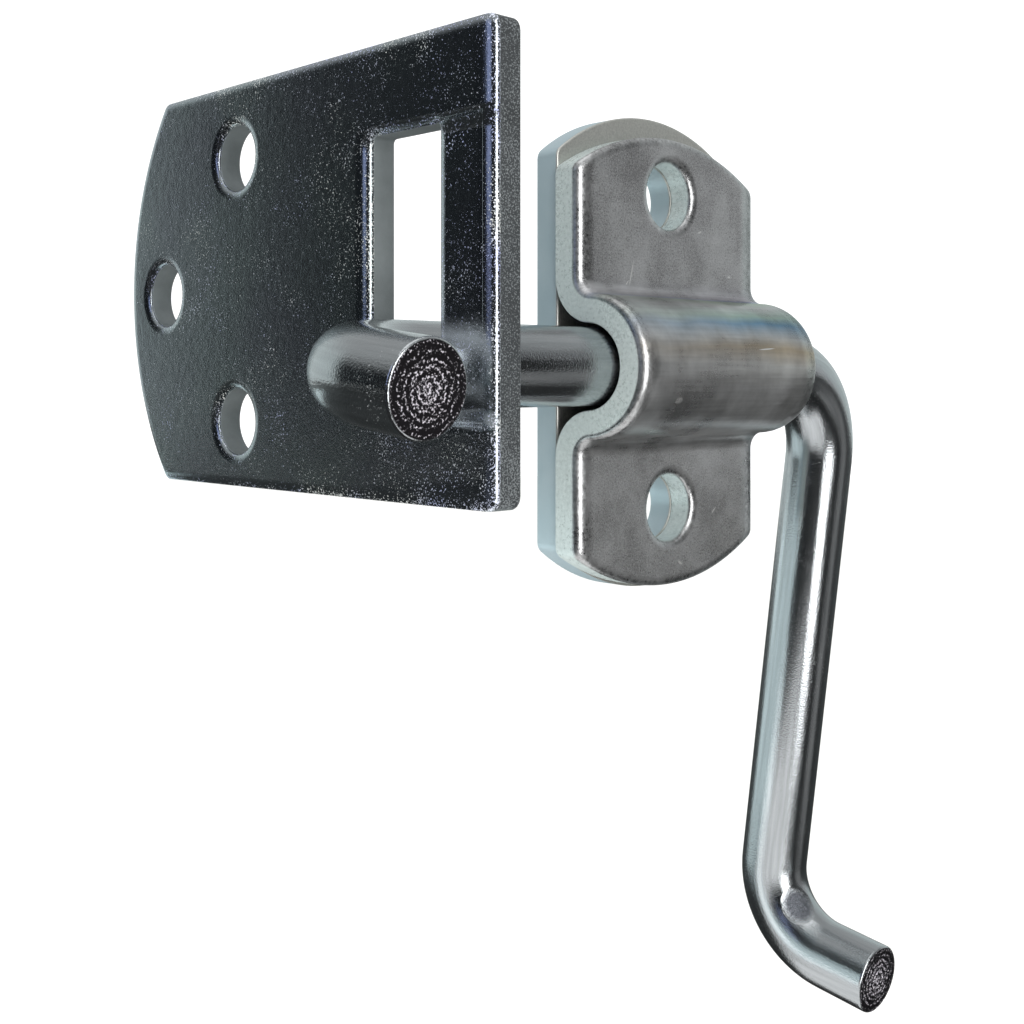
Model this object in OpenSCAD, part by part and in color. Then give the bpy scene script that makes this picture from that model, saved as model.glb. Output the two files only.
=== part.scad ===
// Bolt-on corner latch for two gate panels: a bent round bar that turns in a
// two-plate housing, and a punched strike plate that its hook passes through.
// X runs along the shaft towards the arm, Y into the gate panel, Z up. The
// origin is on the housing's mounting face, midway between its bolt holes.

/* [Bar] */
// Diameter of the round bar
bar_d = 12.7; // [9:0.1:16]
// Inside radius of the two bends at the ends of the shaft
bend_in_r = 11.5; // [3:0.1:13]
// Inside radius of the bend between arm and toe
toe_in_r = 8; // [3:0.1:10]
// Shaft length, from the hook's axis to the arm's axis
shaft_len = 124.9; // [108:0.1:170]
// Hook length, from the shaft's axis to the hook's end face
hook_reach = 25.8; // [22:0.1:32]
// Arm length, from the shaft's axis to the toe's axis
arm_len = 113.1; // [60:0.1:180]
// Toe length, from the arm's axis to the toe's end face
toe_len = 25.1; // [20:0.1:45]
// Bevel on the bar's two cut ends
end_bevel = 0.5; // [0.2:0.1:1]
// Lean of the hanging arm towards the gate
arm_lean = 7.2; // [0:0.1:12]

/* [Housing] */
// Thickness of the pressed strap
strap_t = 4.76; // [3:0.01:6]
// Width of the strap along the shaft
strap_w = 48; // [35:0.1:75]
// Height of the strap over its two curved ends
strap_h = 77; // [70:0.1:110]
// Radius of the strap's curved ends
strap_end_r = 44.8; // [40:0.1:80]
// Inside radius where each flange turns up into the dome
strap_fillet_r = 3; // [1:0.1:4]
// Height of the strap's middle above the shaft's axis
strap_rise = 1; // [-1:0.1:2]
// Thickness of the flat back plate
back_t = 4.76; // [3:0.01:6]
// Width of the back plate along the shaft
back_w = 46.8; // [35:0.1:75]
// Height of the back plate over its two curved ends
back_h = 81.6; // [74:0.1:120]
// Radius of the back plate's curved ends
back_end_r = 38.2; // [38:0.1:80]
// Distance between the housing's two bolt holes
housing_pitch = 53.8; // [50:0.1:60]
// Diameter of the housing's bolt holes
housing_hole_d = 11.6; // [8:0.1:13]
// Height of the bolt holes' middle above the shaft's axis
hole_rise = 2.7; // [0:0.1:3]

/* [Strike plate] */
// Thickness of the strike plate
strike_t = 4.76; // [3:0.01:8]
// Width from the straight edge to the middle of the curved edge
strike_w = 95.5; // [90:0.1:130]
// Height of the strike plate
strike_h = 65.6; // [60:0.1:90]
// Radius of the curved edge
strike_edge_r = 51.8; // [42:0.1:120]
// Metal between the window and the straight edge
strike_lip_w = 12; // [11.5:0.1:25]
// Width of the shallow pressed panel beside the window
panel_w = 10; // [4:0.1:10.5]
// Depth of the pressed panel
panel_depth = 0.6; // [0.2:0.1:1.2]
// Distance between the strike plate's upper and lower bolt holes
strike_pitch = 43; // [36:0.1:48]
// Distance from the curved edge to the pair of bolt holes
pair_inset = 33.8; // [28:0.1:38]
// Distance from the curved edge to the third bolt hole
third_inset = 11.4; // [10:0.1:18]
// Diameter of the strike plate's bolt holes
strike_hole_d = 10.8; // [8:0.1:13]
// How far the holes and window sit below the plate's mid-height
cut_drop = 0.7; // [-1:0.1:1.5]

/* [Clearances] */
// Gap between the shaft and the dome's inner wall
dome_gap = 0.65; // [0.3:0.05:1.5]
// Gap between the shaft and the back plate
back_gap = 0.55; // [0.3:0.05:1.5]
// Gap on each side of the shaft in the window
window_gap = 0.8; // [0.4:0.1:2]
// Gap under the shaft in the window
sill_gap = 1.4; // [0.5:0.1:3]
// Room above the raised hook in the window
hook_room = 7.2; // [1:0.1:12]
// Gap between the hook and the strike plate
hook_gap = 10.7; // [2:0.1:18]
// Distance the bar can slide before its bend meets the housing
end_play = 3.7; // [2:0.1:15]

/* [Hidden] */
$fn = 96;
plate_corner_r = 2;
corner_lift = 0.005;
through = 1;
zinc = "silver";

bar_r = bar_d / 2;
bend_r = bar_r + bend_in_r;
toe_r = bar_r + toe_in_r;
axis_y = -(back_t + back_gap + bar_r);
axis_z = -hole_rise;
arm_x = strap_w / 2 + end_play + bend_r;
hook_x = arm_x - shaft_len;

dome_in_r = bar_r + dome_gap;
dome_out_r = dome_in_r + strap_t;
axis_out = back_gap + bar_r;
fillet_out = strap_t + strap_fillet_r;
fillet_up = sqrt(pow(dome_out_r + strap_fillet_r, 2) - pow(axis_out - fillet_out, 2));
strap_mid_z = strap_rise - hole_rise;
flange_run = strap_h;

window_w = bar_d + 2 * window_gap;
window_below = bar_r + sill_gap;
window_h = window_below + hook_reach + hook_room;
strike_x = hook_x + bar_r + hook_gap;
lip_y = axis_y - window_w / 2 - strike_lip_w;
curve_y = lip_y + strike_w;
cut_z = axis_z - window_below + window_h / 2;
strike_z = cut_z + cut_drop;

// Half of a plate's outline with one curved end, centred on the origin.
// half_w is half its width, top its height to the middle of the curve. The
// corner circles stand a hair past the curve, so that the arcs cross cleanly.
module curved_half(half_w, top, end_r, corner_r) {
    corner_x = half_w - corner_r;
    curve_c = top - end_r;
    corner_z = curve_c + sqrt(pow(end_r - corner_r + corner_lift, 2) - corner_x * corner_x);
    slope = corner_x / (corner_z - curve_c);
    far = 2 * end_r;
    translate([-half_w, 0]) square([2 * half_w, corner_z]);
    for (side = [-1, 1]) translate([side * corner_x, corner_z]) circle(corner_r);
    intersection() {
        translate([0, curve_c]) circle(end_r);
        polygon([[0, curve_c], [slope * far, curve_c + far], [-slope * far, curve_c + far]]);
    }
}

// Outline with straight sides and a curved end at top and bottom
module plate_outline(w, h, end_r) {
    curved_half(w / 2, h / 2, end_r, plate_corner_r);
    mirror([0, 1]) curved_half(w / 2, h / 2, end_r, plate_corner_r);
}

// Sets a flat shape upright in the XZ plane, its front at y and its back at y + t
module upright(y, t) {
    translate([0, y + t, 0]) rotate([90, 0, 0]) linear_extrude(t) children();
}

module housing_holes() {
    for (side = [-1, 1]) translate([0, side * housing_pitch / 2]) circle(d = housing_hole_d);
}

// Area between the middle plane and a circle round the fillet's centre
module fillet_side(r) {
    difference() {
        polygon([[-through, 0], [axis_out, 0], [fillet_out, fillet_up], [-through, fillet_up]]);
        translate([fillet_out, fillet_up]) circle(r);
    }
}

// Hat section of the strap: first axis out from the back plate, second axis up
module hat_section() {
    difference() {
        union() {
            translate([0, -flange_run]) square([strap_t, 2 * flange_run]);
            translate([axis_out, 0]) circle(dome_out_r);
            for (up = [0, 1]) mirror([0, up]) fillet_side(strap_fillet_r);
        }
        translate([axis_out, 0]) circle(dome_in_r);
        for (up = [0, 1]) mirror([0, up]) fillet_side(strap_fillet_r + strap_t);
        translate([-2 * flange_run, -flange_run]) square([2 * flange_run, 2 * flange_run]);
    }
}

module back_plate() {
    color(zinc) upright(-back_t, back_t) difference() {
        plate_outline(back_w, back_h, back_end_r);
        housing_holes();
    }
}

module clamp_strap() {
    front_y = -back_t - axis_out - dome_out_r;
    color(zinc) difference() {
        intersection() {
            translate([-strap_w, -back_t, axis_z]) rotate([90, 0, 90])
                mirror([1, 0]) linear_extrude(2 * strap_w) hat_section();
            translate([0, 0, strap_mid_z]) upright(front_y, -front_y)
                plate_outline(strap_w, strap_h, strap_end_r);
        }
        upright(front_y, -front_y) housing_holes();
    }
}

// Straight length of bar from the origin up Z, with a bevel at its free end
module bar_end(length) {
    cylinder(r = bar_r, h = length - end_bevel);
    translate([0, 0, length - end_bevel])
        cylinder(r1 = bar_r, r2 = bar_r - end_bevel, h = end_bevel);
}

// Right-angle bend from the origin: enters along +X and turns towards +Y
module bar_bend(r) {
    translate([0, r, 0]) rotate([0, 0, -90])
        rotate_extrude(angle = 90) translate([r, 0]) circle(bar_r);
}

module latch_bar() {
    straight_x = hook_x + bend_r;
    arm_run = arm_len - bend_r - toe_r;
    color(zinc) translate([0, axis_y, axis_z]) rotate([arm_lean, 0, 0]) {
        // shaft
        translate([straight_x, 0, 0]) rotate([0, 90, 0])
            cylinder(r = bar_r, h = shaft_len - 2 * bend_r);
        // hook, turning from the shaft towards -Y
        translate([straight_x, 0, 0]) rotate([0, 0, 180]) bar_bend(bend_r);
        translate([hook_x, -bend_r, 0]) rotate([90, 0, 0]) bar_end(hook_reach - bend_r);
        // arm, turning from the shaft down -Z
        translate([arm_x - bend_r, 0, 0]) rotate([-90, 0, 0]) bar_bend(bend_r);
        translate([arm_x, 0, -bend_r - arm_run]) cylinder(r = bar_r, h = arm_run);
        // toe, turning from the arm towards -Y
        translate([arm_x, 0, -bend_r - arm_run]) rotate([0, 90, 0]) rotate([180, 0, 0])
            bar_bend(toe_r);
        translate([arm_x, -toe_r, -arm_len]) rotate([90, 0, 0]) bar_end(toe_len - toe_r);
    }
}

// Outline of the strike plate: first axis into the gate, second axis up
module strike_outline() {
    body_w = strike_w / 2;
    translate([lip_y + body_w, strike_z]) rotate(-90)
        curved_half(strike_h / 2, body_w, strike_edge_r, plate_corner_r);
    translate([lip_y, strike_z - strike_h / 2 + plate_corner_r])
        square([body_w, strike_h - 2 * plate_corner_r]);
    translate([lip_y + plate_corner_r, strike_z - strike_h / 2])
        square([body_w - plate_corner_r, strike_h]);
    for (side = [-1, 1])
        translate([lip_y + plate_corner_r, strike_z + side * (strike_h / 2 - plate_corner_r)])
            circle(plate_corner_r);
}

module strike_holes() {
    for (side = [-1, 1])
        translate([curve_y - pair_inset, cut_z + side * strike_pitch / 2]) circle(d = strike_hole_d);
    translate([curve_y - third_inset, cut_z]) circle(d = strike_hole_d);
}

module strike_plate() {
    color(zinc) difference() {
        translate([strike_x, 0, 0]) rotate([90, 0, 90]) linear_extrude(strike_t) difference() {
            strike_outline();
            strike_holes();
            translate([axis_y, cut_z]) square([window_w, window_h], center = true);
        }
        translate([strike_x - through, axis_y - window_w / 2 - panel_w, cut_z - window_h / 2])
            cube([panel_depth + through, panel_w + through, window_h]);
    }
}

back_plate();
clamp_strap();
latch_bar();
strike_plate();
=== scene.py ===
"""Looks for a bolt-on corner latch: a punched strike plate, a bent round bar
and a two-plate housing, all in bright zinc on steel, built round the CAD frame."""
import math

import bmesh
import bpy
from mathutils import Matrix, Vector


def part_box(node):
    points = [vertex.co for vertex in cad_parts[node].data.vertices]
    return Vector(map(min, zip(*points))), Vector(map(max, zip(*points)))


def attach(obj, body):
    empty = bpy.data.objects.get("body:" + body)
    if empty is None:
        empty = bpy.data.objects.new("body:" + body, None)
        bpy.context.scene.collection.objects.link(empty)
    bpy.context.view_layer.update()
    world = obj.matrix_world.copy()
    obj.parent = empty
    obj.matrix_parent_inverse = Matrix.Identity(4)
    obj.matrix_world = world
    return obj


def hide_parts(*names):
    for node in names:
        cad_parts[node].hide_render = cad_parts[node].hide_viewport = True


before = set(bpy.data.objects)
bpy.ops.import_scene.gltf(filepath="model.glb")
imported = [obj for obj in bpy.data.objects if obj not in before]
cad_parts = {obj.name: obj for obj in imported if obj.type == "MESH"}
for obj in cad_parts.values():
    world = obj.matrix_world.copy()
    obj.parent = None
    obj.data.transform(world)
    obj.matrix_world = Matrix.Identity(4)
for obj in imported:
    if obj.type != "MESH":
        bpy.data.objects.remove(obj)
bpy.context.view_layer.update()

scene = bpy.context.scene
scene.view_settings.view_transform = "Standard"
MM = 0.001


# ---- Camera ----
# A level camera in front of the latch and to its left, on the strike's side.
camera_data = bpy.data.cameras.new("camera")
camera = bpy.data.objects.new("camera", camera_data)
scene.collection.objects.link(camera)
scene.camera = camera
camera.location = (-184.08 * MM, -158.15 * MM, -4.71 * MM)
camera.rotation_euler = (math.radians(90), 0, math.radians(-43.03))
camera_data.sensor_width = 36
camera_data.lens = 47.68
camera_data.shift_x = 0.0321
camera_data.shift_y = -0.1297
camera_data.clip_start = 0.005
camera_data.clip_end = 20


# ---- Studio ----
# A plain pale floor well below the latch, under a white room with a dark side.
# Soft boxes give the long highlights that polished plating shows.
def linear(hex_colour, alpha=1.0):
    """An sRGB hex colour as linear RGBA."""
    channels = [int(hex_colour[i:i + 2], 16) / 255 for i in (1, 3, 5)]
    return tuple(c / 12.92 if c <= 0.04045 else ((c + 0.055) / 1.055) ** 2.4 for c in channels) + (alpha,)


def add(tree, kind, inputs=None, **settings):
    """Adds a node, sets its properties, and sets or links the named inputs."""
    node = tree.nodes.new(kind)
    for name, value in settings.items():
        setattr(node, name, value)
    for name, value in (inputs or {}).items():
        if isinstance(value, bpy.types.NodeSocket):
            tree.links.new(value, node.inputs[name])
        else:
            node.inputs[name].default_value = value
    return node


def new_object(name, mesh):
    """Links a new object at the origin."""
    made = bpy.data.objects.new(name, mesh)
    scene.collection.objects.link(made)
    return made


FLOOR_Z = -0.45
floor_bm = bmesh.new()
bmesh.ops.create_circle(floor_bm, cap_ends=True, segments=96, radius=6)
bmesh.ops.translate(floor_bm, vec=(0, 0, FLOOR_Z), verts=floor_bm.verts)
floor_mesh = bpy.data.meshes.new("floor")
floor_bm.to_mesh(floor_mesh)
floor_bm.free()
floor = new_object("floor", floor_mesh)
floor_paint = bpy.data.materials.new("matt_white_floor")
floor_paint.use_nodes = True
floor_shader = floor_paint.node_tree.nodes["Principled BSDF"]
floor_shader.inputs["Base Color"].default_value = linear("#f6f6f4")
floor_shader.inputs["Roughness"].default_value = 0.9
floor_shader.inputs["Specular IOR Level"].default_value = 0.0
floor_mesh.materials.append(floor_paint)

world = bpy.data.worlds.new("studio")
scene.world = world
world.use_nodes = True
air = world.node_tree
air.nodes.clear()
toward = add(air, "ShaderNodeTexCoord").outputs["Generated"]
axes = add(air, "ShaderNodeSeparateXYZ", {"Vector": toward})
# the room at eye level: dark on the left and in front, grey to the right, pale behind
right_dot = add(air, "ShaderNodeVectorMath", {0: toward, 1: (0.966, -0.259, 0.0)}, operation="DOT_PRODUCT")
right = add(air, "ShaderNodeMapRange", {
    "Value": right_dot.outputs["Value"], "From Min": 0.74, "From Max": 1.0}, interpolation_type="SMOOTHSTEP")
behind_dot = add(air, "ShaderNodeVectorMath", {0: toward, 1: (0.68, 0.73, 0.0)}, operation="DOT_PRODUCT")
behind = add(air, "ShaderNodeMapRange", {
    "Value": behind_dot.outputs["Value"], "From Min": 0.25, "From Max": 0.43}, interpolation_type="SMOOTHSTEP")
right_tone = add(air, "ShaderNodeMix", {
    "Factor": right.outputs["Result"], 6: linear("#1e2124"), 7: linear("#c0c1c3")}, data_type="RGBA")
eye_tone = add(air, "ShaderNodeMix", {
    "Factor": behind.outputs["Result"], 6: right_tone.outputs[2], 7: linear("#d2dcdc")}, data_type="RGBA")
# above it a grey ceiling
height = add(air, "ShaderNodeMapRange", {
    "Value": axes.outputs["Z"], "From Min": 0.3, "From Max": 0.7}, interpolation_type="SMOOTHSTEP")
room_tone = add(air, "ShaderNodeMix", {
    "Factor": height.outputs["Result"], 6: eye_tone.outputs[2], 7: linear("#b6b8b9")}, data_type="RGBA")
room = add(air, "ShaderNodeBackground", {"Color": room_tone.outputs[2], "Strength": 1.0})
backdrop = add(air, "ShaderNodeBackground", {"Color": (1, 1, 1, 1), "Strength": 1.3})
ray = add(air, "ShaderNodeLightPath")
plain = add(air, "ShaderNodeMath", {
    0: ray.outputs["Is Camera Ray"], 1: ray.outputs["Is Diffuse Ray"]}, operation="MAXIMUM")
mixed = add(air, "ShaderNodeMixShader", {
    "Fac": plain.outputs[0], 1: room.outputs[0], 2: backdrop.outputs[0]})
add(air, "ShaderNodeOutputWorld", {"Surface": mixed.outputs[0]})


def soft_box(name, place, aim, size, watts, tint="#ffffff"):
    """An area light that the camera doesn't see, aimed at a point."""
    lamp = bpy.data.lights.new(name, "AREA")
    lamp.shape = "RECTANGLE"
    lamp.size, lamp.size_y = size
    lamp.energy = watts
    lamp.color = linear(tint)[:3]
    lamp_object = bpy.data.objects.new(name, lamp)
    scene.collection.objects.link(lamp_object)
    lamp_object.location = place
    lamp_object.rotation_euler = (Vector(aim) - Vector(place)).to_track_quat("-Z", "Y").to_euler()
    lamp_object.visible_camera = False


soft_box("overhead", (-0.1, -0.2, 1.0), (0, 0, 0), (0.8, 0.8), 1.6)
soft_box("front_strip", (-0.24, -0.79, 0.0), (0.045, 0, -0.05), (0.38, 1.1), 5.4)
soft_box("blue_card", (-0.96, -0.08, 0.32), (-0.06, 0, 0.02), (0.5, 0.5), 0.55, "#c3d0ff")
soft_box("left_card", (-0.10, 0.14, -0.105), (0.045, 0, -0.08), (0.32, 0.13), 0.13, "#dff0f2")
soft_box("under_card", (-0.03, -0.03, -0.21), (0.045, -0.02, -0.11), (0.26, 0.26), 0.22)
soft_box("right_card", (0.27, -0.30, -0.17), (0.045, 0, -0.06), (0.16, 0.26), 0.03)

# dark cards that only the plating mirrors: over the floor, under the hook, before the shaft
grey_card = bpy.data.materials.new("grey_card")
grey_card.use_nodes = True
grey_card.node_tree.nodes["Principled BSDF"].inputs["Base Color"].default_value = linear("#121314")
upright = Matrix.Rotation(math.radians(43), 4, "Z") @ Matrix.Rotation(math.radians(90), 4, "X")
for name, place, radius, facing in (("floor_card", (0, 0, FLOOR_Z + 0.01), 5.5, Matrix()),
                                    ("hook_card", (-0.13, 0.02, -0.03), 0.08, Matrix()),
                                    ("shaft_card", (0.022, -0.095, 0.002), 0.028, upright)):
    card_bm = bmesh.new()
    bmesh.ops.create_circle(card_bm, cap_ends=True, segments=48, radius=radius,
                            matrix=Matrix.Translation(place) @ facing)
    card_mesh = bpy.data.meshes.new(name)
    card_bm.to_mesh(card_mesh)
    card_bm.free()
    card_mesh.materials.append(grey_card)
    card = new_object(name, card_mesh)
    card.visible_camera = card.visible_diffuse = card.visible_shadow = False


# ---- Strike plate ----
# Steel plate, sheared and punched, then plated in bright zinc. The tool rolls
# the edges of the face it enters by, and leaves a torn, pale cut behind.
def draw(bm, start, moves):
    """Draws a closed outline in XY: each move is a point to run to, or a centre and degrees to turn."""
    tip = first = bm.verts.new((start[0], start[1], 0))
    for move in moves:
        if len(move) == 2:
            made = bmesh.ops.extrude_vert_indiv(bm, verts=[tip])
            tip = made["verts"][0]
            tip.co = (move[0], move[1], 0)
        else:
            x, y, degrees = move
            radius = (tip.co - Vector((x, y, 0))).length
            steps = max(4, round(abs(math.radians(degrees)) * radius / (0.5 * MM)))
            made = bmesh.ops.spin(bm, geom=[tip], cent=(x, y, 0), axis=(0, 0, 1), dvec=(0, 0, 0),
                                  angle=math.radians(degrees), steps=min(steps, 160), use_duplicate=False)
            tip = next(v for v in made["geom_last"] if isinstance(v, bmesh.types.BMVert))
    bmesh.ops.pointmerge(bm, verts=[tip, first], merge_co=first.co)


def curved_end(half_w, top, end_r, corner_r):
    """The moves round a plate's curved top, from its right side to its left."""
    x, centre = half_w - corner_r, top - end_r
    y = centre + math.sqrt((end_r - corner_r) ** 2 - x ** 2)
    angle = math.degrees(math.atan2(y - centre, x))
    return [(half_w, y), (x, y, angle), (0, centre, 180 - 2 * angle), (-x, y, angle)]


def punch(bm, holes):
    """Draws round holes, each (x, y, radius), and fills the flat face round everything drawn."""
    for x, y, radius in holes:
        made = bmesh.ops.create_circle(bm, cap_ends=False, segments=72, radius=radius)
        bmesh.ops.translate(bm, vec=(x, y, 0), verts=made["verts"])
    for cuts, longest in ((7, 8 * MM), (3, 3 * MM)):
        long_runs = [e for e in bm.edges if e.calc_length() > longest]
        bmesh.ops.subdivide_edges(bm, edges=long_runs, cuts=cuts)
    bmesh.ops.triangle_fill(bm, use_beauty=True, use_dissolve=False, edges=bm.edges[:], normal=(0, 0, 1))


def thicken(bm, thickness, roll_w, roll_d):
    """Makes the flat face a plate from z = 0 down to -thickness, its upper edges rolled over.

    The "roll" attribute is 1 at the foot of the rolled edge and 0 on the flat faces."""
    bm.normal_update()
    bmesh.ops.recalc_face_normals(bm, faces=bm.faces)
    roll_layer = bm.verts.layers.float.new("roll")
    top = bm.faces[:]
    if max(top, key=lambda f: f.calc_area()).normal.z < 0:
        bmesh.ops.reverse_faces(bm, faces=top)
    out = bmesh.ops.extrude_face_region(bm, geom=top)
    lower = [f for f in out["geom"] if isinstance(f, bmesh.types.BMFace)]
    low_verts = [v for v in out["geom"] if isinstance(v, bmesh.types.BMVert)]
    # the extruded copy is the rolled face; the old one becomes the back
    bmesh.ops.translate(bm, vec=(0, 0, thickness), verts=low_verts)
    bmesh.ops.reverse_faces(bm, faces=top)
    steps = 7
    for region, width, depth in ((lower, roll_w, roll_d), (top, 0.3 * MM, 0.3 * MM)):
        angle = [math.radians(90) * (i + 1) / steps for i in range(steps)]
        went_w = went_d = 0
        verts = {v for f in region for v in f.verts}
        sign = 1 if region is lower else -1
        bmesh.ops.translate(bm, vec=(0, 0, -sign * depth), verts=list(verts))
        for v in verts:
            v[roll_layer] = 1
        for a in angle:
            w, d = width * (1 - math.cos(a)), depth * math.sin(a)
            bmesh.ops.inset_region(bm, faces=region, use_boundary=True, use_even_offset=True,
                                   thickness=w - went_w, depth=0)
            verts = {v for f in region for v in f.verts}
            bmesh.ops.translate(bm, vec=(0, 0, sign * (d - went_d)), verts=list(verts))
            for v in verts:
                v[roll_layer] = math.cos(a)
            went_w, went_d = w, d
    bmesh.ops.translate(bm, vec=(0, 0, -thickness), verts=bm.verts)


def finish_piece(bm, name, node, body, material):
    """Makes the piece's object: smooth, with flat faces kept flat, standing for its CAD node."""
    bmesh.ops.recalc_face_normals(bm, faces=bm.faces)
    mesh = bpy.data.meshes.new(name)
    bm.to_mesh(mesh)
    bm.free()
    mesh.shade_smooth()
    mesh.materials.append(material)
    made = new_object(name, mesh)
    weighted = made.modifiers.new("weighted", "WEIGHTED_NORMAL")
    weighted.weight = 80
    weighted.keep_sharp = True
    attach(made, body)
    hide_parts(node)
    return made


strike_low, strike_high = (Vector(c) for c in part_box("strike_plate"))
STRIKE_T = strike_high.x - strike_low.x
STRIKE_W = strike_high.y - strike_low.y
STRIKE_H = strike_high.z - strike_low.z
STRIKE_EDGE_R = 51.8 * MM
PLATE_CORNER_R = 2 * MM
strike_mid_z = (strike_high.z + strike_low.z) / 2
cut_z = strike_mid_z - 0.7 * MM
PAIR_Y, THIRD_Y, STRIKE_HOLE_R = STRIKE_W - 33.8 * MM, STRIKE_W - 11.4 * MM, 5.4 * MM
SHAFT_Y, SHAFT_Z, BAR_R = -11.66 * MM, -2.7 * MM, 6.35 * MM
WINDOW_W, WINDOW_H, WINDOW_CORNER_R = 14.3 * MM, 40.75 * MM, 0.7 * MM
drop = cut_z - strike_mid_z
window_y = SHAFT_Y - strike_low.y
strike_bm = bmesh.new()
# drawn with its curved edge up: X is up the plate, Y runs from the straight edge to the curved one
half, r = STRIKE_H / 2, PLATE_CORNER_R
draw(strike_bm, (half, r), curved_end(half, STRIKE_W, STRIKE_EDGE_R, r)
     + [(-half, r), (r - half, r, 90), (half - r, 0), (half - r, r, 90)])
x0, x1 = drop - WINDOW_H / 2, drop + WINDOW_H / 2
y0, y1 = window_y - WINDOW_W / 2, window_y + WINDOW_W / 2
r = WINDOW_CORNER_R
draw(strike_bm, (x1, y0 + r), [(x1, y1 - r), (x1 - r, y1 - r, 90), (x0 + r, y1), (x0 + r, y1 - r, 90),
                               (x0, y0 + r), (x0 + r, y0 + r, 90), (x1 - r, y0), (x1 - r, y0 + r, 90)])
punch(strike_bm, [(drop - 21.5 * MM, PAIR_Y, STRIKE_HOLE_R), (drop + 21.5 * MM, PAIR_Y, STRIKE_HOLE_R),
                  (drop, THIRD_Y, STRIKE_HOLE_R)])
thicken(strike_bm, STRIKE_T, 1.7 * MM, 0.7 * MM)
# the shallow panel pressed beside the window, with soft shoulders
PANEL_W, PANEL_DEPTH, SHOULDER = 9.6 * MM, 0.6 * MM, 0.7 * MM
panel_y0, panel_y1 = y0 - PANEL_W, y0
for i in range(6):
    step = SHOULDER * i / 5
    for place, normal in (((x0 - step, 0, 0), (1, 0, 0)), ((x1 + step, 0, 0), (1, 0, 0)),
                          ((0, panel_y0 - step + SHOULDER, 0), (0, 1, 0))):
        bmesh.ops.bisect_plane(strike_bm, geom=strike_bm.verts[:] + strike_bm.edges[:] + strike_bm.faces[:],
                               dist=1e-7, plane_co=place, plane_no=normal)


def ease(value):
    """Smooth step from 0 to 1."""
    value = min(max(value, 0), 1)
    return value * value * (3 - 2 * value)


for v in strike_bm.verts:
    if v.co.z > -STRIKE_T / 2 and v.co.y < panel_y1 + 1.2 * MM:
        beyond = max(x0 - v.co.x, v.co.x - x1, panel_y0 + SHOULDER - v.co.y, 0)
        near_window = 1 - ease((v.co.y - panel_y1) / (1.2 * MM))
        inside = 1 - ease(beyond / SHOULDER)
        v.co.z -= PANEL_DEPTH * inside * near_window
# stood up: drawn X to Z, drawn Y to Y, the rolled face to -X
stand = Matrix(((0, 0, -1, strike_low.x), (0, 1, 0, strike_low.y), (1, 0, 0, strike_mid_z), (0, 0, 0, 1)))
bmesh.ops.transform(strike_bm, matrix=stand, verts=strike_bm.verts)

# bright zinc electroplate on hot-rolled plate: mirror-like and dark where the room is dark,
# with fine pale flecks of zinc grain, a faint blue-green cast, and matt pale cuts
strike_zinc = bpy.data.materials.new("bright_zinc_plate_speckled")
strike_zinc.use_nodes = True
tree = strike_zinc.node_tree
shader = tree.nodes["Principled BSDF"]
where = add(tree, "ShaderNodeTexCoord").outputs["Object"]
at = add(tree, "ShaderNodeSeparateXYZ", {"Vector": where})
# torn cut: everything deeper than the rolled edge
cut = add(tree, "ShaderNodeMapRange", {
    "Value": at.outputs["X"], "From Min": strike_low.x + 0.75 * MM, "From Max": strike_low.x + 1.0 * MM})
in_wall = add(tree, "ShaderNodeMapRange", {
    "Value": at.outputs["X"], "From Min": strike_high.x - 0.05 * MM, "From Max": strike_high.x - 0.2 * MM})
cut = add(tree, "ShaderNodeMapRange", {"Value": cut.outputs["Result"], "To Max": in_wall.outputs["Result"]})
# zinc grain of 0.3 mm, and clouds of it 12 mm across
fleck = add(tree, "ShaderNodeTexNoise", {"Vector": where, "Scale": 3800.0, "Detail": 2.0, "Roughness": 0.6})
cloud = add(tree, "ShaderNodeTexNoise", {"Vector": where, "Scale": 85.0, "Detail": 5.0, "Roughness": 0.65})
roll = add(tree, "ShaderNodeAttribute", attribute_name="roll").outputs["Fac"]
# flecks gather towards the lip
by_lip = add(tree, "ShaderNodeMapRange", {
    "Value": at.outputs["Y"], "From Min": strike_low.y + 40 * MM, "From Max": strike_low.y, "To Max": 0.055})
rim = add(tree, "ShaderNodeMath", {0: roll, 1: 0.10}, operation="MULTIPLY")
level = add(tree, "ShaderNodeMath", {0: cloud.outputs["Fac"], 1: 0.36}, operation="MULTIPLY")
level = add(tree, "ShaderNodeMath", {0: level.outputs[0], 1: rim.outputs[0]}, operation="ADD")
level = add(tree, "ShaderNodeMath", {0: level.outputs[0], 1: by_lip.outputs["Result"]}, operation="ADD")
level = add(tree, "ShaderNodeMath", {0: fleck.outputs["Fac"], 1: level.outputs[0]}, operation="ADD")
flecks = add(tree, "ShaderNodeMapRange", {
    "Value": level.outputs[0], "From Min": 0.85, "From Max": 0.95, "To Max": 1.0})
tint = add(tree, "ShaderNodeTexNoise", {"Vector": where, "Scale": 45.0, "Detail": 2.0})
tone = add(tree, "ShaderNodeMix", {
    "Factor": tint.outputs["Fac"], 6: linear("#a8a6b4"), 7: linear("#b4c3bf")}, data_type="RGBA")
fleck_tint = add(tree, "ShaderNodeTexNoise", {"Vector": where, "Scale": 90.0, "Detail": 3.0})
fleck_tint = add(tree, "ShaderNodeMapRange", {"Value": fleck_tint.outputs["Fac"], "From Min": 0.4, "From Max": 0.6})
fleck_tone = add(tree, "ShaderNodeMix", {
    "Factor": fleck_tint.outputs["Result"], 6: linear("#bcc4f2"), 7: linear("#f0f2ee")}, data_type="RGBA")
tone = add(tree, "ShaderNodeMix", {
    "Factor": flecks.outputs["Result"], 6: tone.outputs[2], 7: fleck_tone.outputs[2]}, data_type="RGBA")
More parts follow.
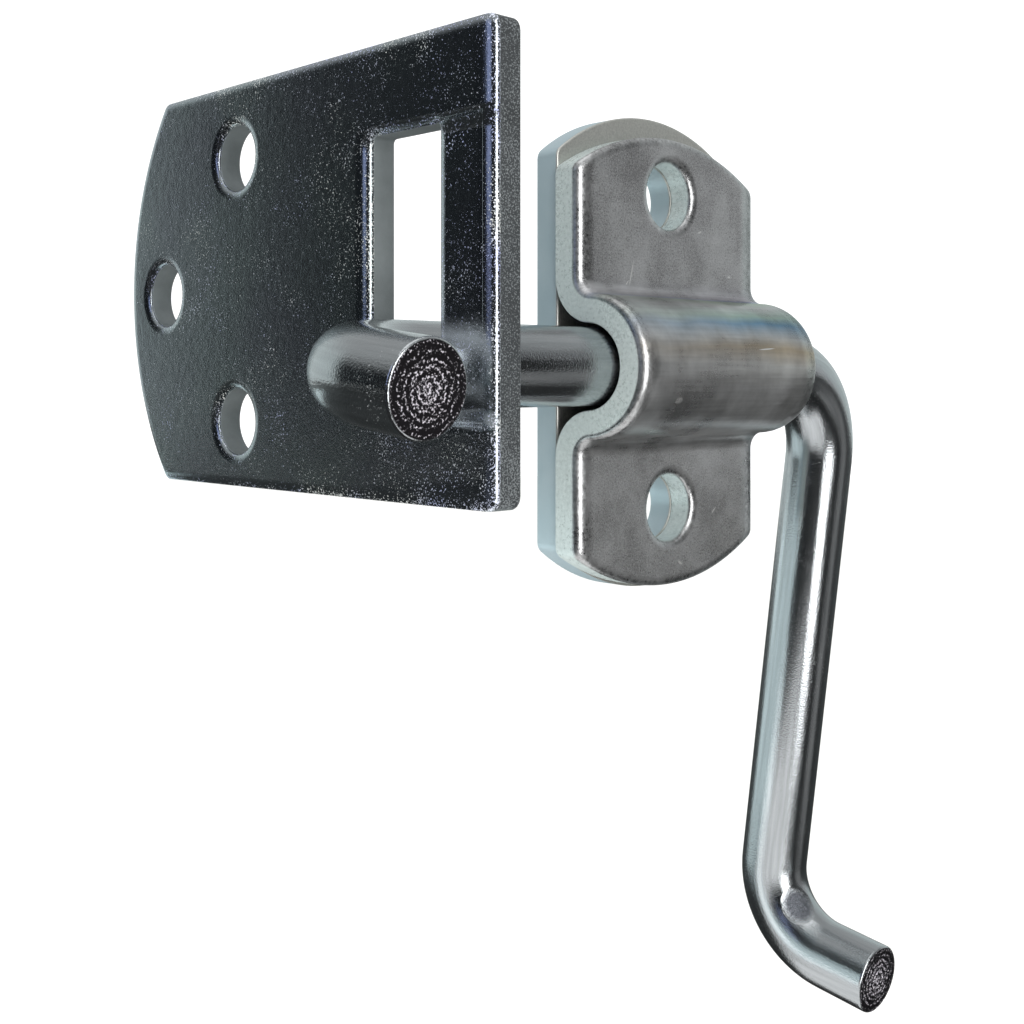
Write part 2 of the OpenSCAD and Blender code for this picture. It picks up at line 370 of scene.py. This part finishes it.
# the punched walls are pale; the sheared straight edge is darker and coarsely speckled
sheared = add(tree, "ShaderNodeMapRange", {
    "Value": at.outputs["Y"], "From Min": strike_low.y + 1.5 * MM, "From Max": strike_low.y + 0.5 * MM})
sheared_tone = add(tree, "ShaderNodeMix", {
    "Factor": flecks.outputs["Result"], 6: linear("#3c3f41"), 7: linear("#7d8284")}, data_type="RGBA")
punched_tone = add(tree, "ShaderNodeMix", {
    "Factor": cloud.outputs["Fac"], 6: linear("#4c5354"), 7: linear("#8f9697")}, data_type="RGBA")
cut_tone = add(tree, "ShaderNodeMix", {
    "Factor": sheared.outputs["Result"], 6: punched_tone.outputs[2], 7: sheared_tone.outputs[2]}, data_type="RGBA")
tone = add(tree, "ShaderNodeMix", {
    "Factor": cut.outputs["Result"], 6: tone.outputs[2], 7: cut_tone.outputs[2]}, data_type="RGBA")
matt = add(tree, "ShaderNodeMath", {0: flecks.outputs["Result"], 1: cut.outputs["Result"]}, operation="MAXIMUM")
metal = add(tree, "ShaderNodeMapRange", {"Value": matt.outputs[0], "To Min": 1.0, "To Max": 0.45})
rough = add(tree, "ShaderNodeMapRange", {"Value": matt.outputs[0], "To Min": 0.17, "To Max": 0.5})
peel = add(tree, "ShaderNodeTexNoise", {"Vector": where, "Scale": 700.0, "Detail": 3.0})
relief = add(tree, "ShaderNodeMath", {0: peel.outputs["Fac"], 1: fleck.outputs["Fac"]}, operation="ADD")
# the sheared lip and the window's edge fall away gently before they roll over
LIP_FALL, WINDOW_FALL = 4.2 * MM, 3.4 * MM
window_edge = strike_low.y + y1
lip = add(tree, "ShaderNodeMapRange", {
    "Value": at.outputs["Y"], "From Min": strike_low.y + LIP_FALL, "From Max": strike_low.y})
lip = add(tree, "ShaderNodeMath", {0: lip.outputs["Result"], 1: 2.0}, operation="POWER")
beside = add(tree, "ShaderNodeMapRange", {
    "Value": at.outputs["Y"], "From Min": window_edge + WINDOW_FALL, "From Max": window_edge})
beside = add(tree, "ShaderNodeMath", {0: beside.outputs["Result"], 1: 2.0}, operation="POWER")
up_down = add(tree, "ShaderNodeMath", {0: at.outputs["Z"], 1: cut_z}, operation="SUBTRACT")
up_down = add(tree, "ShaderNodeMath", {0: up_down.outputs[0]}, operation="ABSOLUTE")
level_with = add(tree, "ShaderNodeMapRange", {
    "Value": up_down.outputs[0], "From Min": WINDOW_H / 2 + 1.5 * MM, "From Max": WINDOW_H / 2 - 2 * MM},
    interpolation_type="SMOOTHSTEP")
beside = add(tree, "ShaderNodeMath", {0: beside.outputs[0], 1: level_with.outputs["Result"]}, operation="MULTIPLY")
fall = add(tree, "ShaderNodeMath", {0: lip.outputs[0], 1: beside.outputs[0]}, operation="ADD")
fall = add(tree, "ShaderNodeMath", {0: fall.outputs[0], 1: -0.0010}, operation="MULTIPLY")
sloped = add(tree, "ShaderNodeBump", {
    "Height": fall.outputs[0], "Strength": in_wall.outputs["Result"], "Distance": 1.0})
bump = add(tree, "ShaderNodeBump", {"Height": relief.outputs[0], "Strength": 0.5, "Distance": 0.00005,
                                    "Normal": sloped.outputs["Normal"]})
tree.links.new(tone.outputs[2], shader.inputs["Base Color"])
tree.links.new(metal.outputs["Result"], shader.inputs["Metallic"])
tree.links.new(rough.outputs["Result"], shader.inputs["Roughness"])
tree.links.new(bump.outputs["Normal"], shader.inputs["Normal"])
strike = finish_piece(strike_bm, "strike_plate_zinc", "strike_plate", "strike", strike_zinc)


# ---- Back plate ----
# A flat sheared plate behind the strap, in the same zinc.
back_low, back_high = (Vector(c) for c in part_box("back_plate"))
BACK_T = back_high.y - back_low.y
BACK_W = back_high.x - back_low.x
BACK_H = back_high.z - back_low.z
BACK_END_R = 38.2 * MM
HOUSING_HOLES = [26.9 * MM, -26.9 * MM]
HOUSING_HOLE_R = 5.8 * MM


def two_ended(bm, width, height, end_r):
    """Draws an outline with straight sides and both ends curved."""
    top = curved_end(width / 2, height / 2, end_r, PLATE_CORNER_R)
    bottom = [(-m[0], -m[1], *m[2:]) for m in top]
    draw(bm, (width / 2, 0), top + bottom)


back_bm = bmesh.new()
two_ended(back_bm, BACK_W, BACK_H, BACK_END_R)
punch(back_bm, [(0, z, HOUSING_HOLE_R) for z in HOUSING_HOLES])
thicken(back_bm, BACK_T, 0.5 * MM, 0.3 * MM)
# stood up: drawn X to X, drawn Y to Z, the rolled face to -Y
stand = Matrix(((1, 0, 0, 0), (0, 0, -1, back_low.y), (0, 1, 0, 0), (0, 0, 0, 1)))
bmesh.ops.transform(back_bm, matrix=stand, verts=back_bm.verts)

# the same plating on smoother plate: satin, with a pale blue-grey cut face
back_zinc = bpy.data.materials.new("bright_zinc_plate_smooth")
back_zinc.use_nodes = True
tree = back_zinc.node_tree
shader = tree.nodes["Principled BSDF"]
where = add(tree, "ShaderNodeTexCoord").outputs["Object"]
at = add(tree, "ShaderNodeSeparateXYZ", {"Vector": where})
cut = add(tree, "ShaderNodeMapRange", {
    "Value": at.outputs["Y"], "From Min": back_low.y + 0.25 * MM, "From Max": back_low.y + 0.45 * MM})
in_wall = add(tree, "ShaderNodeMapRange", {
    "Value": at.outputs["Y"], "From Min": -0.05 * MM, "From Max": -0.2 * MM})
cut = add(tree, "ShaderNodeMapRange", {"Value": cut.outputs["Result"], "To Max": in_wall.outputs["Result"]})
grain = add(tree, "ShaderNodeTexNoise", {"Vector": where, "Scale": 3000.0, "Detail": 3.0, "Roughness": 0.6})
mottle = add(tree, "ShaderNodeTexNoise", {"Vector": where, "Scale": 160.0, "Detail": 4.0})
face_tone = add(tree, "ShaderNodeMix", {
    "Factor": grain.outputs["Fac"], 6: linear("#a8a9a4"), 7: linear("#e4e4dd")}, data_type="RGBA")
cut_tone = add(tree, "ShaderNodeMix", {
    "Factor": mottle.outputs["Fac"], 6: linear("#9cb0b7"), 7: linear("#b5c4c9")}, data_type="RGBA")
tone = add(tree, "ShaderNodeMix", {
    "Factor": cut.outputs["Result"], 6: face_tone.outputs[2], 7: cut_tone.outputs[2]}, data_type="RGBA")
metal = add(tree, "ShaderNodeMapRange", {"Value": cut.outputs["Result"], "To Min": 0.9, "To Max": 0.4})
rough = add(tree, "ShaderNodeMapRange", {"Value": grain.outputs["Fac"], "To Min": 0.25, "To Max": 0.5})
bump = add(tree, "ShaderNodeBump", {"Height": grain.outputs["Fac"], "Strength": 0.4, "Distance": 0.00005})
tree.links.new(tone.outputs[2], shader.inputs["Base Color"])
tree.links.new(metal.outputs["Result"], shader.inputs["Metallic"])
tree.links.new(rough.outputs["Result"], shader.inputs["Roughness"])
tree.links.new(bump.outputs["Normal"], shader.inputs["Normal"])
back = finish_piece(back_bm, "back_plate_zinc", "back_plate", "housing", back_zinc)


# ---- Strap ----
# The same plate stock, punched flat and then pressed over a former into a hat
# shape: two flanges and a dome that holds the bar's shaft against the back plate.
strap_low, strap_high = (Vector(c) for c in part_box("clamp_strap"))
STRAP_T = 4.76 * MM
STRAP_W = strap_high.x - strap_low.x
STRAP_H = strap_high.z - strap_low.z
STRAP_END_R = 44.8 * MM
strap_mid = (strap_high.z + strap_low.z) / 2 - SHAFT_Z
FILLET_R = 3 * MM + STRAP_T / 2
dome_out = strap_low.y
DOME_R = SHAFT_Y - dome_out - STRAP_T / 2
flange_y = back_low.y - STRAP_T / 2
fillet_y = flange_y - FILLET_R
dome_turn = math.acos((fillet_y - SHAFT_Y) * -1 / (DOME_R + FILLET_R))
fillet_up = (DOME_R + FILLET_R) * math.sin(dome_turn)
dome_run = DOME_R * dome_turn
fillet_run = FILLET_R * dome_turn
flat_extra = dome_run + fillet_run - fillet_up

strap_bm = bmesh.new()
two_ended(strap_bm, STRAP_W, STRAP_H + 2 * flat_extra, STRAP_END_R)
hole_places = [z - SHAFT_Z - strap_mid + math.copysign(flat_extra, z) for z in HOUSING_HOLES]
punch(strap_bm, [(0, y, HOUSING_HOLE_R) for y in hole_places])
thicken(strap_bm, STRAP_T, 1.7 * MM, 0.9 * MM)
bmesh.ops.translate(strap_bm, vec=(0, strap_mid, STRAP_T / 2), verts=strap_bm.verts)
bend_end = dome_run + fillet_run
cuts = 60
for i in range(cuts + 1):
    bmesh.ops.bisect_plane(strap_bm, geom=strap_bm.verts[:] + strap_bm.edges[:] + strap_bm.faces[:], dist=1e-7,
                           plane_co=(0, bend_end * (2 * i / cuts - 1), 0), plane_no=(0, 1, 0))
flat_layer = strap_bm.verts.layers.float_vector.new("flat")
for v in strap_bm.verts:
    x, along, out = v.co
    v[flat_layer] = v.co
    side = math.copysign(1, along)
    run = abs(along)
    if run < dome_run:
        turn = run / DOME_R
        y = SHAFT_Y - (DOME_R + out) * math.cos(turn)
        up = (DOME_R + out) * math.sin(turn)
    elif run < bend_end:
        turn = dome_turn - (run - dome_run) / FILLET_R
        y = fillet_y + (FILLET_R - out) * math.cos(turn)
        up = fillet_up - (FILLET_R - out) * math.sin(turn)
    else:
        y = flange_y - out
        up = run - flat_extra
    v.co = (x, y, SHAFT_Z + side * up)

# the same plating on pressed plate: satin grain on the flanges, streaks drawn by the
# former along the dome, coarse bright grain on the rolled edges, pale cut faces,
# and a blue-green bloom of thin passivate where the upper bend drained
strap_zinc = bpy.data.materials.new("bright_zinc_pressed_satin")
strap_zinc.use_nodes = True
tree = strap_zinc.node_tree
shader = tree.nodes["Principled BSDF"]
flat = add(tree, "ShaderNodeAttribute", attribute_name="flat").outputs["Vector"]
at = add(tree, "ShaderNodeSeparateXYZ", {"Vector": flat})
cut = add(tree, "ShaderNodeMapRange", {
    "Value": at.outputs["Z"], "From Min": STRAP_T / 2 - 0.75 * MM, "From Max": STRAP_T / 2 - 1.05 * MM})
in_wall = add(tree, "ShaderNodeMapRange", {
    "Value": at.outputs["Z"], "From Min": 0.05 * MM - STRAP_T / 2, "From Max": 0.2 * MM - STRAP_T / 2})
cut = add(tree, "ShaderNodeMapRange", {"Value": cut.outputs["Result"], "To Max": in_wall.outputs["Result"]})
grain = add(tree, "ShaderNodeTexNoise", {"Vector": flat, "Scale": 3400.0, "Detail": 2.0, "Roughness": 0.6})
coarse = add(tree, "ShaderNodeTexNoise", {"Vector": flat, "Scale": 1500.0, "Detail": 3.0, "Roughness": 0.7})
pulled = add(tree, "ShaderNodeMapping", {"Vector": flat, "Scale": (0.035, 1.0, 1.0)})
streak = add(tree, "ShaderNodeTexNoise", {"Vector": pulled.outputs[0], "Scale": 2200.0, "Detail": 2.0})
streak = add(tree, "ShaderNodeMapRange", {"Value": streak.outputs["Fac"], "To Min": 0.36, "To Max": 0.64})
roll = add(tree, "ShaderNodeAttribute", attribute_name="roll").outputs["Fac"]
edge = add(tree, "ShaderNodeMapRange", {"Value": roll, "From Min": 0.02, "From Max": 0.5})
off_axis = add(tree, "ShaderNodeMath", {0: at.outputs["Y"]}, operation="ABSOLUTE")
dome = add(tree, "ShaderNodeMapRange", {
    "Value": off_axis.outputs[0], "From Min": bend_end, "From Max": bend_end - 3 * MM})
# the sheared sides fall away over SIDE_FALL before they roll over, and stay coarse there
SIDE_FALL = 4.5 * MM
off_middle = add(tree, "ShaderNodeMath", {0: at.outputs["X"]}, operation="ABSOLUTE")
side = add(tree, "ShaderNodeMapRange", {
    "Value": off_middle.outputs[0], "From Min": STRAP_W / 2 - SIDE_FALL, "From Max": STRAP_W / 2})
side_sq = add(tree, "ShaderNodeMath", {0: side.outputs["Result"], 1: 2.0}, operation="POWER")
fall = add(tree, "ShaderNodeMath", {0: side_sq.outputs[0], 1: -0.0011}, operation="MULTIPLY")
sloped = add(tree, "ShaderNodeBump", {"Height": fall.outputs[0], "Strength": 1.0, "Distance": 1.0})
flank = add(tree, "ShaderNodeMapRange", {"Value": side.outputs["Result"], "From Min": 0.15, "From Max": 0.5})
coarse_at = add(tree, "ShaderNodeMath", {0: edge.outputs["Result"], 1: flank.outputs["Result"]}, operation="MAXIMUM")
grain_mix = add(tree, "ShaderNodeMix", {
    "Factor": dome.outputs["Result"], 2: grain.outputs["Fac"], 3: streak.outputs["Result"]}, data_type="FLOAT")
surface = add(tree, "ShaderNodeMix", {
    "Factor": coarse_at.outputs[0], 2: grain_mix.outputs[0], 3: coarse.outputs["Fac"]}, data_type="FLOAT")
cloud = add(tree, "ShaderNodeTexNoise", {"Vector": flat, "Scale": 110.0, "Detail": 4.0, "Roughness": 0.6})
level = add(tree, "ShaderNodeMath", {0: cloud.outputs["Fac"], 1: surface.outputs[0]}, operation="ADD")
spread = add(tree, "ShaderNodeMapRange", {"Value": level.outputs[0], "From Min": 0.75, "From Max": 1.25})
tone = add(tree, "ShaderNodeMix", {
    "Factor": spread.outputs["Result"], 6: linear("#959595"), 7: linear("#d9dada")}, data_type="RGBA")
# thin passivate bands: tan on the dome's front, blue above it, violet in the upper crease
upward = add(tree, "ShaderNodeMapRange", {
    "Value": at.outputs["Y"], "From Min": -0.2 * dome_run, "From Max": 1.6 * dome_run})
wander = add(tree, "ShaderNodeTexNoise", {"Vector": flat, "Scale": 70.0, "Detail": 2.0})
wander = add(tree, "ShaderNodeMapRange", {"Value": wander.outputs["Fac"], "To Min": -0.06, "To Max": 0.06})
upward = add(tree, "ShaderNodeMath", {0: upward.outputs["Result"], 1: wander.outputs["Result"]}, operation="ADD")
bands = add(tree, "ShaderNodeValToRGB", {"Fac": upward.outputs[0]})
for place, colour in ((0.12, "#fffefa"), (0.21, "#f6e2c4"), (0.27, "#ffffff"), (0.36, "#86bfe6"), (0.42, "#cdeee0"),
                      (0.52, "#ffffff"), (0.60, "#cfe6c9"), (0.68, "#9db4f0"), (0.76, "#fbf6ff")):
    stop = bands.color_ramp.elements.new(place)
    stop.color = linear(colour)
for stop in (bands.color_ramp.elements[0], bands.color_ramp.elements[-1]):
    stop.color = (1, 1, 1, 1)
along = add(tree, "ShaderNodeMapRange", {
    "Value": at.outputs["X"], "From Min": -0.024, "From Max": 0.01, "To Min": 0.25, "To Max": 0.95})
tone = add(tree, "ShaderNodeMix", {
    "Factor": along.outputs["Result"], 6: tone.outputs[2], 7: bands.outputs["Color"]},
    data_type="RGBA", blend_type="MULTIPLY")
# handling marks: x, y on the flat blank, half-length, half-width, degrees
marks = None
for x, y, half_long, half_wide, turn in ((-13.5, -4.5, 0.9, 0.45, 5), (-10.5, 23, 2.6, 0.14, 76),
                                         (-11.6, 21.2, 0.9, 0.12, 60), (8, 31.5, 0.5, 0.2, 20),
                                         (2.5, -41.5, 0.7, 0.25, 150), (12, -33, 0.8, 0.15, 40),
                                         (9, 2.5, 2.2, 0.1, 3), (16.5, 24, 0.4, 0.2, 0)):
    local = add(tree, "ShaderNodeMapping", {
        "Vector": flat, "Location": (x * MM, y * MM, STRAP_T / 2), "Rotation": (0, 0, math.radians(turn)),
        "Scale": (half_long * MM, half_wide * MM, 1.0)}, vector_type="TEXTURE")
    reach = add(tree, "ShaderNodeVectorMath", {0: local.outputs[0]}, operation="LENGTH")
    mark = add(tree, "ShaderNodeMapRange", {"Value": reach.outputs["Value"], "From Min": 1.2, "From Max": 0.7})
    marks = mark.outputs["Result"] if marks is None else add(
        tree, "ShaderNodeMath", {0: marks, 1: mark.outputs["Result"]}, operation="MAXIMUM").outputs[0]
tone = add(tree, "ShaderNodeMix", {"Factor": marks, 6: tone.outputs[2], 7: linear("#f4f4f2")}, data_type="RGBA")
cut_tone = add(tree, "ShaderNodeMix", {
    "Factor": coarse.outputs["Fac"], 6: linear("#93a09e"), 7: linear("#dbe4e2")}, data_type="RGBA")
tone = add(tree, "ShaderNodeMix", {
    "Factor": cut.outputs["Result"], 6: tone.outputs[2], 7: cut_tone.outputs[2]}, data_type="RGBA")
# a satin share of matt zinc, less of it on the rolled edges
satin = add(tree, "ShaderNodeMapRange", {"Value": coarse_at.outputs[0], "To Min": 0.95, "To Max": 0.98})
metal = add(tree, "ShaderNodeMix", {
    "Factor": cut.outputs["Result"], 2: satin.outputs["Result"], 3: 0.3}, data_type="FLOAT")
rough = add(tree, "ShaderNodeMapRange", {
    "Value": level.outputs[0], "From Min": 0.7, "From Max": 1.3, "To Min": 0.2, "To Max": 0.42})
strength = add(tree, "ShaderNodeMapRange", {"Value": coarse_at.outputs[0], "To Min": 0.3, "To Max": 0.9})
bump = add(tree, "ShaderNodeBump", {
    "Height": surface.outputs[0], "Strength": strength.outputs["Result"], "Distance": 0.00006,
    "Normal": sloped.outputs["Normal"]})
tree.links.new(tone.outputs[2], shader.inputs["Base Color"])
tree.links.new(metal.outputs[0], shader.inputs["Metallic"])
tree.links.new(rough.outputs["Result"], shader.inputs["Roughness"])
tree.links.new(bump.outputs["Normal"], shader.inputs["Normal"])
strap = finish_piece(strap_bm, "clamp_strap_zinc", "clamp_strap", "housing", strap_zinc)


# ---- Latch bar ----
# Cold-drawn round rod, cropped at both ends, bent cold in three places and
# plated after bending, so it shines more than the plates do.
LEAN = math.radians(7.2)
SHAFT_BEND_R, TOE_BEND_R = 17.85 * MM, 14.35 * MM
HOOK_X = -79.35 * MM
ARM_X = 45.55 * MM
HOOK_REACH, ARM_LEN, TOE_LEN = 25.8 * MM, 113.1 * MM, 25.1 * MM
END_BEVEL = 0.5 * MM
quarter = math.pi / 2
straights = [HOOK_REACH - SHAFT_BEND_R, ARM_X - HOOK_X - 2 * SHAFT_BEND_R,
             ARM_LEN - SHAFT_BEND_R - TOE_BEND_R, TOE_LEN - TOE_BEND_R]
bends = [SHAFT_BEND_R, SHAFT_BEND_R, TOE_BEND_R]
bar_len = sum(straights) + sum(bends) * quarter

bar_bm = bmesh.new()
bmesh.ops.create_cone(bar_bm, cap_ends=True, segments=96, radius1=BAR_R, radius2=BAR_R, depth=bar_len)
bmesh.ops.translate(bar_bm, vec=(0, 0, bar_len / 2), verts=bar_bm.verts)
rims = [e for e in bar_bm.edges if abs(e.verts[0].co.z - e.verts[1].co.z) < 1e-6]
bmesh.ops.bevel(bar_bm, geom=rims, offset=END_BEVEL, offset_type="OFFSET", segments=4, profile=0.5,
                affect="EDGES", clamp_overlap=True, material=-1)
caps = [f for f in bar_bm.faces if len(f.verts) > 8]
for width in (0.4 * MM, 1.2 * MM, 1.5 * MM):
    bmesh.ops.inset_region(bar_bm, faces=caps, use_boundary=True, use_even_offset=True, thickness=width, depth=0)
bmesh.ops.poke(bar_bm, faces=caps)
ring_places, start = [], 0
for straight, bend in zip(straights, bends + [0]):
    start += straight
    if bend:
        turns = 30
        ring_places += [start + bend * quarter * i / turns for i in range(turns + 1)]
        start += bend * quarter
for place in ring_places:
    bmesh.ops.bisect_plane(bar_bm, geom=bar_bm.verts[:] + bar_bm.edges[:] + bar_bm.faces[:], dist=1e-7,
                           plane_co=(0, 0, place), plane_no=(0, 0, 1))

# the rod's route: each leg's heading and the way the bend after it turns. The
# section's own two axes are carried round each bend, so the rod never twists.
ALONG, DOWN, OUT = Vector((1, 0, 0)), Vector((0, 0, -1)), Vector((0, -1, 0))
legs = list(zip([-OUT, ALONG, DOWN, OUT], [ALONG, DOWN, OUT, None], straights, bends + [0]))
lean = Matrix.Translation((0, SHAFT_Y, SHAFT_Z)) @ Matrix.Rotation(LEAN, 4, "X")
straight_layer = bar_bm.verts.layers.float_vector.new("straight")
for v in bar_bm.verts:
    a, b, left = v.co
    v[straight_layer] = v.co
    point, side = Vector((HOOK_X, -HOOK_REACH, 0)), DOWN
    for head, turn_to, straight, bend in legs:
        if turn_to is None or left <= straight:
            point = point + head * left
            break
        left -= straight
        angle = min(left / bend, quarter)
        point = point + head * (straight + bend * math.sin(angle)) + turn_to * bend * (1 - math.cos(angle))
        turn = Matrix.Rotation(angle, 3, head.cross(turn_to))
        side, head = turn @ side, turn @ head
        left -= bend * quarter
        if left <= 0:
            break
    v.co = lean @ (point + side * a + head.cross(side) * b)

# the same plating on drawn rod: near-mirror, with fine lines along the rod and sparse
# pits. The cropped ends are dark, coarse and ringed by the cutting tool.
bar_zinc = bpy.data.materials.new("bright_zinc_drawn_rod")
bar_zinc.use_nodes = True
tree = bar_zinc.node_tree
shader = tree.nodes["Principled BSDF"]
rod = add(tree, "ShaderNodeAttribute", attribute_name="straight").outputs["Vector"]
at = add(tree, "ShaderNodeSeparateXYZ", {"Vector": rod})
from_middle = add(tree, "ShaderNodeMath", {0: at.outputs["Z"], 1: bar_len / 2}, operation="SUBTRACT")
from_middle = add(tree, "ShaderNodeMath", {0: from_middle.outputs[0]}, operation="ABSOLUTE")
ends = add(tree, "ShaderNodeMapRange", {
    "Value": from_middle.outputs[0], "From Min": bar_len / 2 - 0.06 * MM, "From Max": bar_len / 2 - 0.02 * MM})
drawn = add(tree, "ShaderNodeMapping", {"Vector": rod, "Scale": (1.0, 1.0, 0.06)})
streak = add(tree, "ShaderNodeTexNoise", {"Vector": drawn.outputs[0], "Scale": 1100.0, "Detail": 4.0})
grain = add(tree, "ShaderNodeTexNoise", {"Vector": rod, "Scale": 3200.0, "Detail": 2.0})
across = add(tree, "ShaderNodeCombineXYZ", {"X": at.outputs["X"], "Y": at.outputs["Y"]})
rings = add(tree, "ShaderNodeTexWave", {"Vector": across.outputs[0], "Scale": 300.0, "Distortion": 5.0,
                                        "Detail": 3.0, "Detail Scale": 2.0},
            wave_type="RINGS", rings_direction="Z")
end_height = add(tree, "ShaderNodeMath", {0: rings.outputs["Fac"], 1: 0.5}, operation="MULTIPLY")
end_height = add(tree, "ShaderNodeMath", {0: end_height.outputs[0], 1: grain.outputs["Fac"]}, operation="ADD")
side_height = add(tree, "ShaderNodeMath", {0: streak.outputs["Fac"], 1: grain.outputs["Fac"]}, operation="ADD")
# the bending tool scuffed the inside of the toe's bend
scuff_run = bar_len - straights[3] - 0.5 * quarter * TOE_BEND_R
scuff_at = add(tree, "ShaderNodeMapping", {
    "Vector": rod, "Location": (2.6 * MM, -5.6 * MM, scuff_run), "Scale": (3.4 * MM, 3.4 * MM, 6 * MM)},
    vector_type="TEXTURE")
scuff_reach = add(tree, "ShaderNodeVectorMath", {0: scuff_at.outputs[0]}, operation="LENGTH")
scuff = add(tree, "ShaderNodeMapRange", {"Value": scuff_reach.outputs["Value"], "From Min": 1.0, "From Max": 0.6})
scar = add(tree, "ShaderNodeTexNoise", {"Vector": rod, "Scale": 900.0, "Detail": 4.0, "Roughness": 0.7})
scar = add(tree, "ShaderNodeMath", {0: scar.outputs["Fac"], 1: 14.0}, operation="MULTIPLY")
scar = add(tree, "ShaderNodeMath", {0: scar.outputs[0], 1: scuff.outputs["Result"]}, operation="MULTIPLY")
side_height = add(tree, "ShaderNodeMath", {0: side_height.outputs[0], 1: scar.outputs[0]}, operation="ADD")
relief = add(tree, "ShaderNodeMix", {
    "Factor": ends.outputs["Result"], 2: side_height.outputs[0], 3: end_height.outputs[0]}, data_type="FLOAT")
strength = add(tree, "ShaderNodeMapRange", {"Value": ends.outputs["Result"], "To Min": 0.6, "To Max": 1.0})
bump = add(tree, "ShaderNodeBump", {
    "Height": relief.outputs[0], "Strength": strength.outputs["Result"], "Distance": 0.00006})
side_tone = add(tree, "ShaderNodeMix", {
    "Factor": streak.outputs["Fac"], 6: linear("#9ca0a2"), 7: linear("#cdd1d3")}, data_type="RGBA")
cloud = add(tree, "ShaderNodeTexNoise", {"Vector": rod, "Scale": 130.0, "Detail": 3.0})
speck_level = add(tree, "ShaderNodeMath", {0: cloud.outputs["Fac"], 1: 0.45}, operation="MULTIPLY")
speck_level = add(tree, "ShaderNodeMath", {0: speck_level.outputs[0], 1: grain.outputs["Fac"]}, operation="ADD")
specks = add(tree, "ShaderNodeMapRange", {
    "Value": speck_level.outputs[0], "From Min": 0.93, "From Max": 1.0, "To Max": 0.7})
side_tone = add(tree, "ShaderNodeMix", {
    "Factor": specks.outputs["Result"], 6: side_tone.outputs[2], 7: linear("#e8eaec")}, data_type="RGBA")
side_tone = add(tree, "ShaderNodeMix", {
    "Factor": scuff.outputs["Result"], 6: side_tone.outputs[2], 7: linear("#74777d")}, data_type="RGBA")
# the sparkle follows the tool rings and thins out towards the rim
off_axis = add(tree, "ShaderNodeVectorMath", {0: across.outputs[0]}, operation="LENGTH")
thinning = add(tree, "ShaderNodeMath", {0: off_axis.outputs["Value"], 1: -0.17 / BAR_R}, operation="MULTIPLY")
ring_level = add(tree, "ShaderNodeMath", {0: rings.outputs["Fac"], 1: 0.15}, operation="MULTIPLY")
spark_level = add(tree, "ShaderNodeMath", {0: grain.outputs["Fac"], 1: ring_level.outputs[0]}, operation="ADD")
spark_level = add(tree, "ShaderNodeMath", {0: spark_level.outputs[0], 1: thinning.outputs[0]}, operation="ADD")
end_spark = add(tree, "ShaderNodeMapRange", {"Value": spark_level.outputs[0], "From Min": 0.53, "From Max": 0.66})
end_tone = add(tree, "ShaderNodeMix", {
    "Factor": end_spark.outputs["Result"], 6: linear("#4a474b"), 7: linear("#f3eef7")}, data_type="RGBA")
tone = add(tree, "ShaderNodeMix", {
    "Factor": ends.outputs["Result"], 6: side_tone.outputs[2], 7: end_tone.outputs[2]}, data_type="RGBA")
side_rough = add(tree, "ShaderNodeMapRange", {"Value": grain.outputs["Fac"], "To Min": 0.08, "To Max": 0.26})
rough = add(tree, "ShaderNodeMix", {
    "Factor": ends.outputs["Result"], 2: side_rough.outputs["Result"], 3: 0.32}, data_type="FLOAT")
matt = add(tree, "ShaderNodeMix", {
    "Factor": ends.outputs["Result"], 2: specks.outputs["Result"], 3: end_spark.outputs["Result"]}, data_type="FLOAT")
metal = add(tree, "ShaderNodeMapRange", {"Value": matt.outputs[0], "To Min": 1.0, "To Max": 0.6})
tree.links.new(metal.outputs["Result"], shader.inputs["Metallic"])
tree.links.new(tone.outputs[2], shader.inputs["Base Color"])
tree.links.new(rough.outputs[0], shader.inputs["Roughness"])
tree.links.new(bump.outputs["Normal"], shader.inputs["Normal"])
bar = finish_piece(bar_bm, "latch_bar_zinc", "latch_bar", "bar", bar_zinc)
